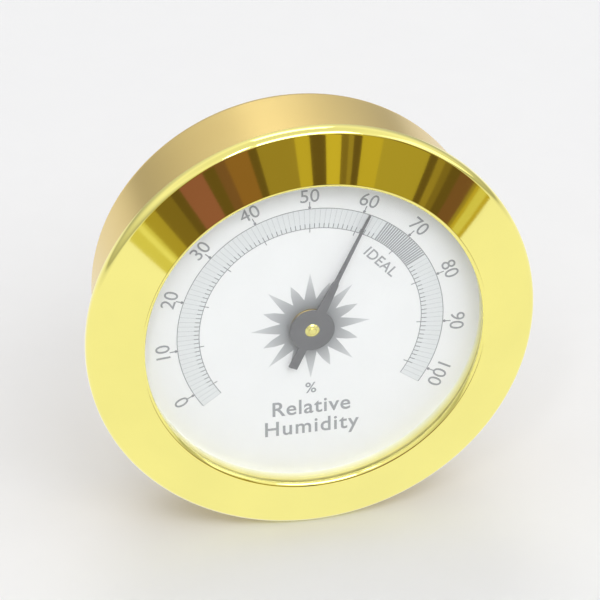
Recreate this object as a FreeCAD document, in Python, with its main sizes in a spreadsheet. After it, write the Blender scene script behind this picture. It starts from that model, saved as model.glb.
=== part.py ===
import FreeCAD, Part
import math
import os
import Sketcher
from FreeCAD import Placement, Rotation, Vector

# Dial hygrometer for a panel, drawn lying on the bench: dial up along +Z, twelve o'clock along +Y,
# and z = 0 on the panel's face. Every piece is then stood up, so that the dial looks along -Y.

# Driving sizes in millimetres. Heights are above the panel's face, depths are below it.
SIZES = [
    ("bezel_radius", 25.0, "outside of the bezel's rim"),
    ("bezel_edge", 1.2, "height of the rim's outer wall"),
    ("bezel_height", 3.15, "height of the crest around the window"),
    ("bezel_rounding", 0.6, "round on the rim's front edge"),
    ("crest_radius", 19.15, "where the bezel's cone meets the crest"),
    ("crest_drop", 0.25, "fall from the crest to the window's edge"),
    ("crest_rounding", 0.1, "round on the crest and the window's edge"),
    ("window_radius", 18.8, "opening in the bezel"),
    ("bore_radius", 20.0, "bore behind the lip, which holds glass and dial"),
    ("seated_radius", 19.9, "glass, gasket, spacer and dial, a slip fit in the bore"),
    ("skirt_length", 2.5, "skirt that reaches back into the case"),
    ("shoulder_length", 0.3, "step behind the flange that the case butts against"),
    ("glass_height", 1.8, "back of the glass"),
    ("glass_thickness", 0.8, "flat glass"),
    ("glass_chamfer", 0.15, "ground edge of the glass"),
    ("gasket_thickness", 0.2, "ring between glass and spacer"),
    ("gasket_opening", 19.0, "inside of the gasket, hidden by the lip"),
    ("spacer_opening", 18.9, "inside of the spacer at the dial"),
    ("dial_height", 0.3, "front of the dial"),
    ("dial_thickness", 0.4, "dial sheet"),
    ("foot_radius", 0.5, "dial foot"),
    ("foot_length", 1.2, "dial foot below the dial"),
    ("foot_spread", 11.5, "dial foot from the centre"),
    ("ring_thickness", 0.5, "split ring behind the dial"),
    ("ring_outside", 20.45, "split ring in its groove"),
    ("ring_opening", 19.3, "inside of the split ring"),
    ("ring_sweep", 342.0, "degrees of the split ring"),
    ("groove_radius", 20.5, "groove for the split ring"),
    ("groove_width", 0.55, "groove for the split ring"),
    ("case_radius", 22.0, "outside of the case"),
    ("case_depth", 13.0, "panel's face to the back of the case"),
    ("case_wall", 0.6, "sheet of the case"),
    ("case_corner", 1.2, "outer round at the back of the case"),
    ("dish_radius", 17.5, "outside of the pressed dish in the back"),
    ("dish_slope", 0.5, "width of the dish's sloping edge"),
    ("dish_depth", 0.4, "depth of the pressed dish"),
    ("adjuster_opening", 2.6, "hole in the back for the adjuster"),
    ("vent_width", 2.2, "air slot"),
    ("vent_start", 7.6, "inner centre of an air slot's round end"),
    ("vent_finish", 13.4, "outer centre of an air slot's round end"),
    ("vent_count", 8, "air slots"),
    ("plate_radius", 14.0, "movement plate"),
    ("plate_thickness", 0.8, "movement plate and bridge"),
    ("pillar_spread", 10.5, "pillar from the centre"),
    ("pillar_radius", 1.5, "pillar"),
    ("pillar_length", 7.8, "plate to bridge"),
    ("tenon_radius", 1.0, "riveted end of a pillar"),
    ("tapping_radius", 0.8, "threaded hole in a pillar"),
    ("tapping_depth", 4.2, "threaded hole in a pillar"),
    ("bridge_radius", 3.5, "half the bridge's width, and its round ends"),
    ("bridge_opening", 2.0, "hole that the adjuster turns in"),
    ("screw_radius", 0.75, "bridge screw's shank"),
    ("screw_length", 4.4, "bridge screw under its head"),
    ("screw_head_radius", 1.4, "bridge screw's head"),
    ("screw_head_height", 0.8, "bridge screw's head"),
    ("screw_slot", 0.4, "width and depth of its slot"),
    ("slot_overrun", 0.5, "how far a driver slot runs past the head"),
    ("bush_flange_radius", 2.2, "bush flange on the dial"),
    ("bush_flange", 0.3, "thickness of the bush's two flanges"),
    ("bush_radius", 1.5, "bush through dial and plate"),
    ("bush_rivet_radius", 1.9, "bush where it is riveted over"),
    ("bush_bore", 0.64, "running bore of the bush"),
    ("arbor_radius", 0.75, "arbor between its journals"),
    ("journal_radius", 0.6, "arbor in the bush"),
    ("pivot_radius", 0.46, "arbor in the adjuster"),
    ("tip_radius", 0.45, "arbor where the hub is pressed on"),
    ("tip_height", 1.6, "front end of the arbor"),
    ("tip_rounding", 0.15, "round on that end"),
    ("hub_height", 0.8, "back of the pointer's hub"),
    ("hub_collar_radius", 1.1, "hub behind the pointer"),
    ("hub_collar", 0.3, "thickness of the hub's collar"),
    ("hub_radius", 0.6, "hub through the pointer"),
    ("hub_rivet_radius", 0.8, "hub riveted over in front"),
    ("hub_rivet", 0.15, "height of the riveted front"),
    ("pointer_thickness", 0.25, "sheet of the pointer"),
    ("pointer_disc", 2.5, "round middle of the pointer"),
    ("pointer_root", 2.0, "where blade and tail start inside the middle"),
    ("pointer_reach", 15.2, "centre to the pointer's tip"),
    ("pointer_shoulder", 6.0, "centre to the end of the wide root"),
    ("root_width", 1.15, "pointer beside its disc"),
    ("shoulder_width", 0.8, "pointer at the end of the wide root"),
    ("needle_width", 0.5, "pointer beyond the root"),
    ("point_width", 0.22, "pointer at its tip"),
    ("tail_reach", 5.1, "centre to the end of the tail"),
    ("tail_width", 1.0, "tail of the pointer"),
    ("collet_radius", 1.6, "collet that carries the coil"),
    ("collet_depth", 3.4, "front of the collet"),
    ("collet_length", 3.2, "collet"),
    ("collet_slot", 0.3, "slot for the coil's inner end"),
    ("collet_floor", 0.95, "bottom of that slot from the centre"),
    ("coil_depth", 3.5, "front edge of the coil"),
    ("coil_width", 3.0, "width of the coil's strip"),
    ("coil_thickness", 0.18, "thickness of the coil's strip"),
    ("coil_start", 1.7, "radius of the innermost half turn"),
    ("coil_pitch", 1.0, "growth in a whole turn"),
    ("coil_half_turns", 14, "half turns of the coil"),
    ("coil_tail", 1.5, "straight outer end of the coil"),
    ("adjuster_flange_radius", 3.0, "adjuster's shoulder"),
    ("adjuster_flange", 0.8, "thickness of the shoulder"),
    ("adjuster_gap", 0.3, "bridge to the shoulder, filled by the spring washer"),
    ("adjuster_boss_radius", 2.2, "slotted end of the adjuster"),
    ("adjuster_boss", 1.7, "length of the slotted end"),
    ("adjuster_neck", 1.95, "adjuster in the bridge"),
    ("adjuster_seat", 1.3, "adjuster in the arm"),
    ("adjuster_rivet_radius", 1.55, "adjuster riveted over the arm"),
    ("adjuster_rivet", 0.3, "height of that rivet"),
    ("adjuster_slot", 0.6, "width of the driver slot"),
    ("adjuster_slot_depth", 0.9, "depth of the driver slot"),
    ("pivot_hole", 0.5, "hole for the arbor's pivot"),
    ("pivot_hole_depth", 1.65, "hole for the arbor's pivot"),
    ("end_play", 0.05, "room between pieces that turn on each other"),
    ("washer_thickness", 0.12, "spring washer"),
    ("washer_opening", 2.05, "spring washer"),
    ("washer_play", 0.01, "room at each side of the spring washer"),
    ("arm_thickness", 0.6, "adjuster arm"),
    ("arm_disc", 2.6, "round end of the arm"),
    ("arm_width", 3.4, "arm and its upright"),
    ("arm_reach", 8.8, "centre to the upright's inner face"),
    ("arm_upright", 4.75, "height of the upright above the arm"),
    ("clip_thickness", 0.3, "clip over the upright and the coil"),
    ("clip_width", 1.6, "clip"),
    ("clip_leg", 3.2, "legs of the clip"),
    ("clip_side", -0.16, "edge of the clip from the arm's centre line"),
    ("clip_slack", 0.09, "room for the coil between clip and upright"),
    ("reading_angle", 25.4, "degrees clockwise from twelve o'clock at rest"),
    ("arm_angle", -90.0, "degrees that the arm and coil are turned at rest, from +X"),
    ("ring_gap_angle", -90.0, "degrees from +X to the middle of the split ring's gap"),
]

doc = FreeCAD.newDocument("DialHygrometer")
sheet = doc.addObject("Spreadsheet::Sheet", "Sizes")
for row, (alias, size, note) in enumerate(SIZES, start=1):
    sheet.set(f"A{row}", alias)
    sheet.set(f"B{row}", str(size))
    sheet.set(f"C{row}", note)
    sheet.setAlias(f"B{row}", alias)
doc.recompute()

# Heights that several pieces share, as expressions on the sheet.
GLASS_FRONT = "Sizes.glass_height + Sizes.glass_thickness"
GASKET_BACK = "Sizes.glass_height - Sizes.gasket_thickness"
DIAL_BACK = "Sizes.dial_height - Sizes.dial_thickness"
PLATE_BACK = f"{DIAL_BACK} - Sizes.plate_thickness"
BRIDGE_FRONT = f"{PLATE_BACK} - Sizes.pillar_length"
BRIDGE_BACK = f"{BRIDGE_FRONT} - Sizes.plate_thickness"
SHOULDER_FRONT = f"{BRIDGE_BACK} - Sizes.adjuster_gap"
SHOULDER_BACK = f"{SHOULDER_FRONT} - Sizes.adjuster_flange"
ARM_BACK = f"{BRIDGE_FRONT} + Sizes.end_play"
ARM_FRONT = f"{ARM_BACK} + Sizes.arm_thickness"
ADJUSTER_FRONT = f"{ARM_FRONT} + Sizes.adjuster_rivet"
BUSH_BACK = f"{PLATE_BACK} - Sizes.bush_flange"
POINTER_BACK = "Sizes.hub_height + Sizes.hub_collar"
POINTER_FRONT = f"{POINTER_BACK} + Sizes.pointer_thickness"
SKIRT_RADIUS = "Sizes.case_radius - Sizes.case_wall"

sub_parts = []


def size_of(alias):
    return float(sheet.get(alias))


def stand(piece, turn=0.0):
    """Turns a finished piece about the dial's axis, stands it up with its dial side to -Y and keeps it."""
    piece.Placement = Placement(
        Vector(0, 0, 0), Rotation(Vector(1, 0, 0), 90) * Rotation(Vector(0, 0, 1), turn)
    )
    sub_parts.append(piece)
    return piece


def new_body(label):
    body = doc.addObject("PartDesign::Body", label)
    body.Label = label
    return body


def new_sketch(body, name, role, height="0"):
    """A sketch on one of the body's own origin planes, raised along that plane's normal."""
    sketch = body.newObject("Sketcher::SketchObject", name)
    plane = next(f for f in body.Origin.OriginFeatures if f.Role == role)
    sketch.AttachmentSupport = (plane, [""])
    sketch.MapMode = "FlatFace"
    if height != "0":
        sketch.setExpression("AttachmentOffset.Base.z", height)
    return sketch


def fix_point(sketch, geometry, end, across, up):
    """Ties one point of a sketch to the sketch's axes by two expressions."""
    for kind, axis, expression in (("DistanceX", -2, across), ("DistanceY", -1, up)):
        if expression == "0":
            sketch.addConstraint(Sketcher.Constraint("PointOnObject", geometry, end, axis))
            continue
        start = sketch.evalExpression(expression)
        index = sketch.addConstraint(Sketcher.Constraint(kind, -1, 1, geometry, end, start))
        sketch.setExpression(f"Constraints[{index}]", expression)


def outline(sketch, corners):
    """A closed outline of straight lines through corners, each a pair of expressions."""
    points = [
        Vector(sketch.evalExpression(across), sketch.evalExpression(up), 0)
        for across, up in corners
    ]
    first = sketch.GeometryCount
    count = len(points)
    for i in range(count):
        sketch.addGeometry(Part.LineSegment(points[i], points[(i + 1) % count]), False)
    for i in range(count):
        following = first + (i + 1) % count
        sketch.addConstraint(Sketcher.Constraint("Coincident", first + i, 2, following, 1))
    for i, (across, up) in enumerate(corners):
        fix_point(sketch, first + i, 1, across, up)


def circle(sketch, radius, across="0", up="0"):
    start = Part.Circle(
        Vector(sketch.evalExpression(across), sketch.evalExpression(up), 0),
        Vector(0, 0, 1),
        sketch.evalExpression(radius),
    )
    index = sketch.addGeometry(start, False)
    fix_point(sketch, index, 3, across, up)
    limit = sketch.addConstraint(
        Sketcher.Constraint("Radius", index, sketch.evalExpression(radius))
    )
    sketch.setExpression(f"Constraints[{limit}]", radius)


def long_hole(sketch, near, far, radius):
    """An outline with two round ends whose centres lie on the sketch's X axis."""
    left = sketch.evalExpression(near)
    right = sketch.evalExpression(far)
    size = sketch.evalExpression(radius)
    up = Vector(0, 0, 1)
    quarter = math.pi / 2
    ends = [
        Part.ArcOfCircle(Part.Circle(Vector(right, 0, 0), up, size), -quarter, quarter),
        Part.ArcOfCircle(Part.Circle(Vector(left, 0, 0), up, size), quarter, 3 * quarter),
    ]
    sides = [
        Part.LineSegment(Vector(right, size, 0), Vector(left, size, 0)),
        Part.LineSegment(Vector(left, -size, 0), Vector(right, -size, 0)),
    ]
    far_end, near_end = (sketch.addGeometry(arc, False) for arc in ends)
    top, bottom = (sketch.addGeometry(line, False) for line in sides)
    joints = [(far_end, 2, top, 1), (top, 2, near_end, 1), (near_end, 2, bottom, 1)]
    for joint in joints + [(bottom, 2, far_end, 1)]:
        sketch.addConstraint(Sketcher.Constraint("Tangent", *joint))
    sketch.addConstraint(Sketcher.Constraint("Equal", far_end, near_end))
    fix_point(sketch, far_end, 3, far, "0")
    fix_point(sketch, near_end, 3, near, "0")
    limit = sketch.addConstraint(Sketcher.Constraint("Radius", far_end, size))
    sketch.setExpression(f"Constraints[{limit}]", radius)


def slot_outline(sketch, head_radius, width):
    """The strip that a driver slot takes right across a round head."""
    end = f"({head_radius} + Sizes.slot_overrun)"
    side = f"{width} / 2"
    outline(sketch, [(f"-{end}", f"-{side}"), (end, f"-{side}"), (end, side), (f"-{end}", side)])


def turn_profile(body, corners, sweep="360"):
    """Revolves an outline of (radius, height) corners about the dial's axis."""
    sketch = new_sketch(body, f"{body.Label}_profile", "XZ_Plane")
    outline(sketch, corners)
    solid = body.newObject("PartDesign::Revolution", f"{body.Label}_turned")
    solid.Profile = sketch
    solid.ReferenceAxis = (sketch, ["V_Axis"])
    solid.setExpression("Angle", sweep)
    doc.recompute()
    return solid


def pad(body, sketch, length, name):
    """Adds material from the sketch towards +Z."""
    solid = body.newObject("PartDesign::Pad", name)
    solid.Profile = sketch
    solid.setExpression("Length", length)
    doc.recompute()
    return solid


def pocket(body, sketch, depth, name, upwards=False):
    """Removes material from the sketch towards -Z, or +Z, and stops if it removed nothing."""
    before = body.Shape.Volume
    cut = body.newObject("PartDesign::Pocket", name)
    cut.Profile = sketch
    cut.setExpression("Length", depth)
    cut.Reversed = upwards
    doc.recompute()
    if body.Shape.Volume > before - 1e-6:
        raise RuntimeError(f"{name} cuts nothing")
    return cut


def edges_at(solid, radius, height):
    """Names of the round edges of that radius at that height."""
    found = []
    for index, edge in enumerate(solid.Shape.Edges, start=1):
        ring = edge.Curve
        if isinstance(ring, Part.Circle) and abs(ring.Radius - radius) < 1e-4:
            if abs(ring.Center.z - height) < 1e-4:
                found.append(f"Edge{index}")
    if not found:
        raise RuntimeError(f"{solid.Label} has no round edge of {radius} at {height}")
    return found


def soften(body, kind, size_name, size, places):
    """Rounds or chamfers the round edges at places, each a pair of expressions."""
    base = body.Tip
    names = []
    for radius, height in places:
        names += edges_at(base, base.evalExpression(radius), base.evalExpression(height))
    count = sum(f.TypeId == f"PartDesign::{kind}" for f in body.Group) + 1
    soft = body.newObject(f"PartDesign::{kind}", f"{body.Label}_{kind.lower()}_{count}")
    soft.Base = (base, names)
    soft.setExpression(size_name, size)
    doc.recompute()
    return soft


def mirrored_pair(source, label):
    """Two like solids either side of the YZ plane, in one node."""
    other = doc.addObject("Part::Mirroring", f"{label}_mirrored")
    other.Source = source
    other.Normal = Vector(1, 0, 0)
    pair = doc.addObject("Part::Compound", label)
    pair.Links = [source, other]
    pair.Label = label
    doc.recompute()
    return pair


def make_bezel():
    """Turned ring: flat back, straight rim, cone up to a crest, lip over the glass, and a skirt."""
    body = new_body("bezel")
    groove_back = f"{DIAL_BACK} - Sizes.groove_width"
    lip_edge = "Sizes.bezel_height - Sizes.crest_drop"
    turn_profile(
        body,
        [
            (SKIRT_RADIUS, "-Sizes.skirt_length"),
            (SKIRT_RADIUS, "-Sizes.shoulder_length"),
            ("Sizes.case_radius", "-Sizes.shoulder_length"),
            ("Sizes.case_radius", "0"),
            ("Sizes.bezel_radius", "0"),
            ("Sizes.bezel_radius", "Sizes.bezel_edge"),
            ("Sizes.crest_radius", "Sizes.bezel_height"),
            ("Sizes.window_radius", lip_edge),
            ("Sizes.window_radius", GLASS_FRONT),
            ("Sizes.bore_radius", GLASS_FRONT),
            ("Sizes.bore_radius", DIAL_BACK),
            ("Sizes.groove_radius", DIAL_BACK),
            ("Sizes.groove_radius", groove_back),
            ("Sizes.bore_radius", groove_back),
            ("Sizes.bore_radius", "-Sizes.skirt_length"),
        ],
    )
    rim = [("Sizes.bezel_radius", "Sizes.bezel_edge")]
    soften(body, "Fillet", "Radius", "Sizes.bezel_rounding", rim)
    crest = [("Sizes.crest_radius", "Sizes.bezel_height"), ("Sizes.window_radius", lip_edge)]
    soften(body, "Fillet", "Radius", "Sizes.crest_rounding", crest)
    stand(body)


def make_crystal():
    body = new_body("crystal")
    sketch = new_sketch(body, "crystal_outline", "XY_Plane", "Sizes.glass_height")
    circle(sketch, "Sizes.seated_radius")
    pad(body, sketch, "Sizes.glass_thickness", "crystal_disc")
    rims = [("Sizes.seated_radius", GLASS_FRONT), ("Sizes.seated_radius", "Sizes.glass_height")]
    soften(body, "Chamfer", "Size", "Sizes.glass_chamfer", rims)
    stand(body)


def make_crystal_gasket():
    body = new_body("crystal_gasket")
    sketch = new_sketch(body, "gasket_outline", "XY_Plane", GASKET_BACK)
    circle(sketch, "Sizes.seated_radius")
    circle(sketch, "Sizes.gasket_opening")
    pad(body, sketch, "Sizes.gasket_thickness", "gasket_ring")
    stand(body)


def make_spacer_ring():
    """Turned ring from the dial to the gasket, opening a little towards the glass."""
    body = new_body("spacer_ring")
    turn_profile(
        body,
        [
            ("Sizes.spacer_opening", "Sizes.dial_height"),
            ("Sizes.seated_radius", "Sizes.dial_height"),
            ("Sizes.seated_radius", GASKET_BACK),
            ("Sizes.gasket_opening", GASKET_BACK),
        ],
    )
    stand(body)


def make_dial_plate():
    """Round sheet with a hole for the bush."""
    body = new_body("dial_plate")
    sketch = new_sketch(body, "dial_outline", "XY_Plane", DIAL_BACK)
    circle(sketch, "Sizes.seated_radius")
    circle(sketch, "Sizes.bush_radius")
    pad(body, sketch, "Sizes.dial_thickness", "dial_sheet")
    stand(body)


def make_dial_feet():
    """Two pins soldered behind the dial, which stop it turning on the movement plate."""
    feet = []
    for side in (1, -1):
        foot = doc.addObject("Part::Cylinder", f"dial_foot_{len(feet) + 1}")
        foot.setExpression("Radius", "Sizes.foot_radius")
        foot.setExpression("Height", "Sizes.foot_length")
        foot.setExpression("Placement.Base.y", f"{side} * Sizes.foot_spread")
        foot.setExpression("Placement.Base.z", f"{DIAL_BACK} - Sizes.foot_length")
        feet.append(foot)
    pair = doc.addObject("Part::Compound", "dial_feet")
    pair.Links = feet
    pair.Label = "dial_feet"
    doc.recompute()
    stand(pair)


def make_retaining_ring():
    """Split ring that springs into the bezel's groove behind the dial, with its gap at six o'clock."""
    body = new_body("retaining_ring")
    ring_back = f"{DIAL_BACK} - Sizes.ring_thickness"
    turn_profile(
        body,
        [
            ("Sizes.ring_opening", ring_back),
            ("Sizes.ring_outside", ring_back),
            ("Sizes.ring_outside", DIAL_BACK),
            ("Sizes.ring_opening", DIAL_BACK),
        ],
        sweep="Sizes.ring_sweep",
    )
    half_gap = (360 - size_of("ring_sweep")) / 2
    stand(body, size_of("ring_gap_angle") + half_gap)


def make_case_back():
    """Drawn can with a dished back, air slots and a hole for the adjuster."""
    body = new_body("case_back")
    inner_back = "Sizes.case_wall - Sizes.case_depth"
    dish_back = "Sizes.dish_depth - Sizes.case_depth"
    turn_profile(
        body,
        [
            ("Sizes.case_radius", "-Sizes.shoulder_length"),
            ("Sizes.case_radius", "-Sizes.case_depth"),
            ("Sizes.dish_radius", "-Sizes.case_depth"),
            ("Sizes.dish_radius - Sizes.dish_slope", dish_back),
            ("Sizes.adjuster_opening", dish_back),
            ("Sizes.adjuster_opening", f"{dish_back} + Sizes.case_wall"),
            ("Sizes.dish_radius - Sizes.dish_slope", f"{dish_back} + Sizes.case_wall"),
            ("Sizes.dish_radius", inner_back),
            (SKIRT_RADIUS, inner_back),
            (SKIRT_RADIUS, "-Sizes.shoulder_length"),
        ],
    )
    outer_corner = [("Sizes.case_radius", "-Sizes.case_depth")]
    inner_corner = [(SKIRT_RADIUS, inner_back)]
    soften(body, "Fillet", "Radius", "Sizes.case_corner", outer_corner)
    soften(body, "Fillet", "Radius", "Sizes.case_corner - Sizes.case_wall", inner_corner)
    slot = new_sketch(body, "vent_outline", "XY_Plane", "-Sizes.case_depth")
    long_hole(slot, "Sizes.vent_start", "Sizes.vent_finish", "Sizes.vent_width / 2")
    vent = pocket(body, slot, "2 * Sizes.case_wall + Sizes.dish_depth", "vent", upwards=True)
    pattern = body.newObject("PartDesign::PolarPattern", "vents")
    pattern.Originals = [vent]
    pattern.Axis = (slot, ["N_Axis"])
    pattern.Angle = 360
    pattern.setExpression("Occurrences", "Sizes.vent_count")
    body.Tip = pattern
    doc.recompute()
    stand(body, 180 / size_of("vent_count"))


def make_front_bush():
    """Flanged bush, riveted behind the movement plate, which clamps the dial at its centre."""
    body = new_body("front_bush")
    flange_front = "Sizes.dial_height + Sizes.bush_flange"
    turn_profile(
        body,
        [
            ("Sizes.bush_bore", BUSH_BACK),
            ("Sizes.bush_rivet_radius", BUSH_BACK),
            ("Sizes.bush_rivet_radius", PLATE_BACK),
            ("Sizes.bush_radius", PLATE_BACK),
            ("Sizes.bush_radius", "Sizes.dial_height"),
            ("Sizes.bush_flange_radius", "Sizes.dial_height"),
            ("Sizes.bush_flange_radius", flange_front),
            ("Sizes.bush_bore", flange_front),
        ],
    )
    stand(body)


def make_movement_plate():
    """Round plate behind the dial, with holes for the bush, the pillars' tenons and the dial's feet."""
    body = new_body("movement_plate")
    sketch = new_sketch(body, "plate_outline", "XY_Plane", PLATE_BACK)
    circle(sketch, "Sizes.plate_radius")
    circle(sketch, "Sizes.bush_radius")
    for side in (1, -1):
        circle(sketch, "Sizes.tenon_radius", across=f"{side} * Sizes.pillar_spread")
        circle(sketch, "Sizes.foot_radius + Sizes.end_play", up=f"{side} * Sizes.foot_spread")
    pad(body, sketch, "Sizes.plate_thickness", "plate_sheet")
    stand(body)


def make_pillars():
    """Two turned posts, riveted into the plate and threaded at the bridge."""
    body = new_body("pillar")
    hole_floor = f"{BRIDGE_FRONT} + Sizes.tapping_depth"
    turn_profile(
        body,
        [
            ("Sizes.tapping_radius", BRIDGE_FRONT),
            ("Sizes.pillar_radius", BRIDGE_FRONT),
            ("Sizes.pillar_radius", PLATE_BACK),
            ("Sizes.tenon_radius", PLATE_BACK),
            ("Sizes.tenon_radius", DIAL_BACK),
            ("0", DIAL_BACK),
            ("0", hole_floor),
            ("Sizes.tapping_radius", hole_floor),
        ],
    )
    body.setExpression("Placement.Base.x", "Sizes.pillar_spread")
    stand(mirrored_pair(body, "pillars"))


def make_rear_bridge():
    """Strip with round ends across the pillars, which carries the adjuster."""
    body = new_body("rear_bridge")
    sketch = new_sketch(body, "bridge_outline", "XY_Plane", BRIDGE_BACK)
    long_hole(sketch, "-Sizes.pillar_spread", "Sizes.pillar_spread", "Sizes.bridge_radius")
    circle(sketch, "Sizes.bridge_opening")
    for side in (1, -1):
        circle(sketch, "Sizes.screw_radius + Sizes.end_play", across=f"{side} * Sizes.pillar_spread")
    pad(body, sketch, "Sizes.plate_thickness", "bridge_sheet")
    stand(body)


def make_bridge_screws():
    """Two slotted screws through the bridge into the pillars."""
    body = new_body("bridge_screw")
    head_back = f"{BRIDGE_BACK} - Sizes.screw_head_height"
    turn_profile(
        body,
        [
            ("0", head_back),
            ("Sizes.screw_head_radius", head_back),
            ("Sizes.screw_head_radius", BRIDGE_BACK),
            ("Sizes.screw_radius", BRIDGE_BACK),
            ("Sizes.screw_radius", f"{BRIDGE_BACK} + Sizes.screw_length"),
            ("0", f"{BRIDGE_BACK} + Sizes.screw_length"),
        ],
    )
    slot = new_sketch(body, "screw_slot_outline", "XY_Plane", head_back)
    slot_outline(slot, "Sizes.screw_head_radius", "Sizes.screw_slot")
    pocket(body, slot, "Sizes.screw_slot", "screw_slot", upwards=True)
    body.setExpression("Placement.Base.x", "Sizes.pillar_spread")
    stand(mirrored_pair(body, "bridge_screws"))


def make_adjuster_stub():
    """Turned stub in the bridge: slotted end at the back, blind hole for the arbor's pivot in front."""
    body = new_body("adjuster_stub")
    boss_back = f"{SHOULDER_BACK} - Sizes.adjuster_boss"
    hole_floor = f"{ADJUSTER_FRONT} - Sizes.pivot_hole_depth"
    turn_profile(
        body,
        [
            ("0", boss_back),
            ("Sizes.adjuster_boss_radius", boss_back),
            ("Sizes.adjuster_boss_radius", SHOULDER_BACK),
            ("Sizes.adjuster_flange_radius", SHOULDER_BACK),
            ("Sizes.adjuster_flange_radius", SHOULDER_FRONT),
            ("Sizes.adjuster_neck", SHOULDER_FRONT),
            ("Sizes.adjuster_neck", ARM_BACK),
            ("Sizes.adjuster_seat", ARM_BACK),
            ("Sizes.adjuster_seat", ARM_FRONT),
            ("Sizes.adjuster_rivet_radius", ARM_FRONT),
            ("Sizes.adjuster_rivet_radius", ADJUSTER_FRONT),
            ("Sizes.pivot_hole", ADJUSTER_FRONT),
            ("Sizes.pivot_hole", hole_floor),
            ("0", hole_floor),
        ],
    )
    slot = new_sketch(body, "driver_slot_outline", "XY_Plane", boss_back)
    slot_outline(slot, "Sizes.adjuster_boss_radius", "Sizes.adjuster_slot")
    pocket(body, slot, "Sizes.adjuster_slot_depth", "driver_slot", upwards=True)
    stand(body)


def make_friction_washer():
    """Dished spring washer between the bridge and the adjuster's shoulder."""
    body = new_body("friction_washer")
    low = f"{SHOULDER_FRONT} + Sizes.washer_play"
    high = f"{BRIDGE_BACK} - Sizes.washer_play"
    turn_profile(
        body,
        [
            ("Sizes.washer_opening", low),
            ("Sizes.adjuster_flange_radius", f"{high} - Sizes.washer_thickness"),
            ("Sizes.adjuster_flange_radius", high),
            ("Sizes.washer_opening", f"{low} + Sizes.washer_thickness"),
        ],
    )
    stand(body)


def make_adjuster_arm():
    """Flat arm riveted to the stub, bent up at its end to hold the outside of the coil."""
    body = new_body("adjuster_arm")
    disc = new_sketch(body, "arm_disc_outline", "XY_Plane", ARM_BACK)
    circle(disc, "Sizes.arm_disc")
    circle(disc, "Sizes.adjuster_seat")
    pad(body, disc, "Sizes.arm_thickness", "arm_disc")
    strip = new_sketch(body, "arm_strip_outline", "XY_Plane", ARM_BACK)
    half = "Sizes.arm_width / 2"
    tip = "Sizes.arm_reach + Sizes.arm_thickness"
    root = "Sizes.adjuster_rivet_radius + Sizes.end_play"
    outline(strip, [(root, f"-{half}"), (tip, f"-{half}"), (tip, half), (root, half)])
    pad(body, strip, "Sizes.arm_thickness", "arm_strip")
    upright = new_sketch(body, "arm_upright_outline", "XY_Plane", ARM_FRONT)
    reach = "Sizes.arm_reach"
    outline(upright, [(reach, f"-{half}"), (tip, f"-{half}"), (tip, half), (reach, half)])
    pad(body, upright, "Sizes.arm_upright", "arm_upright")
    stand(body, size_of("arm_angle"))


def make_coil_clip():
    """Bent clip that holds the coil's outer end against the arm's upright."""
    top = f"{ARM_FRONT} + Sizes.arm_upright"
    foot = f"{top} - Sizes.clip_leg"
    thickness = "Sizes.clip_thickness"
    inner_leg = "Sizes.arm_reach - Sizes.coil_thickness - Sizes.clip_slack - Sizes.clip_thickness"
    outer_leg = "Sizes.arm_reach + Sizes.arm_thickness"
    span = f"{outer_leg} + {thickness} - ({inner_leg})"
    bends = {
        "clip_inner_leg": (inner_leg, thickness, foot, "Sizes.clip_leg"),
        "clip_outer_leg": (outer_leg, thickness, foot, "Sizes.clip_leg"),
        "clip_bridge": (inner_leg, span, top, thickness),
    }
    boxes = []
    for name, (across, length, height, rise) in bends.items():
        box = doc.addObject("Part::Box", name)
        box.setExpression("Length", length)
        box.setExpression("Width", "Sizes.clip_width")
        box.setExpression("Height", rise)
        box.setExpression("Placement.Base.x", across)
        box.setExpression("Placement.Base.y", "Sizes.clip_side")
        box.setExpression("Placement.Base.z", height)
        boxes.append(box)
    clip = doc.addObject("Part::MultiFuse", "coil_clip")
    clip.Shapes = boxes
    clip.Refine = True
    clip.Label = "coil_clip"
    doc.recompute()
    stand(clip, size_of("arm_angle"))


def spiral_side(offset, back):
    """Edges of one side of the coil's strip: half circles about two centres, then the straight tail."""
    growth = size_of("coil_pitch") / 2
    edges = []
    for half_turn in range(int(size_of("coil_half_turns"))):
        radius = size_of("coil_start") + growth * half_turn + offset
        odd = half_turn % 2
        centre = Vector(growth * odd, 0, back)
        side = -1 if odd else 1
        begin = centre + Vector(side * radius, 0, 0)
        middle = centre + Vector(0, side * radius, 0)
        end = centre - Vector(side * radius, 0, 0)
        edges.append(Part.Arc(begin, middle, end).toShape())
    edges.append(Part.makeLine(end, end + Vector(0, size_of("coil_tail"), 0)))
    return edges


def make_humidity_coil():
    """Spiral strip from the collet's slot out to the arm, with its inner end bent into the slot."""
    half = size_of("coil_thickness") / 2
    back = -size_of("coil_depth") - size_of("coil_width")
    inside, outside = spiral_side(-half, back), spiral_side(half, back)
    start = Part.makeLine(inside[0].Vertexes[0].Point, outside[0].Vertexes[0].Point)
    finish = Part.makeLine(inside[-1].Vertexes[-1].Point, outside[-1].Vertexes[-1].Point)
    face = Part.Face(Part.Wire(Part.__sortEdges__(inside + outside + [start, finish])))
    spiral = face.extrude(Vector(0, 0, size_of("coil_width")))
    bend_start = size_of("collet_floor") + size_of("end_play")
    bend_length = size_of("coil_start") + half - bend_start
    corner = Vector(bend_start, -half, back)
    bend = Part.makeBox(bend_length, 2 * half, size_of("coil_width"), corner)
    coil = doc.addObject("Part::Feature", "humidity_coil")
    coil.Shape = spiral.fuse(bend).removeSplitter().Solids[0]
    coil.Label = "humidity_coil"
    stand(coil, size_of("arm_angle"))


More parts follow.
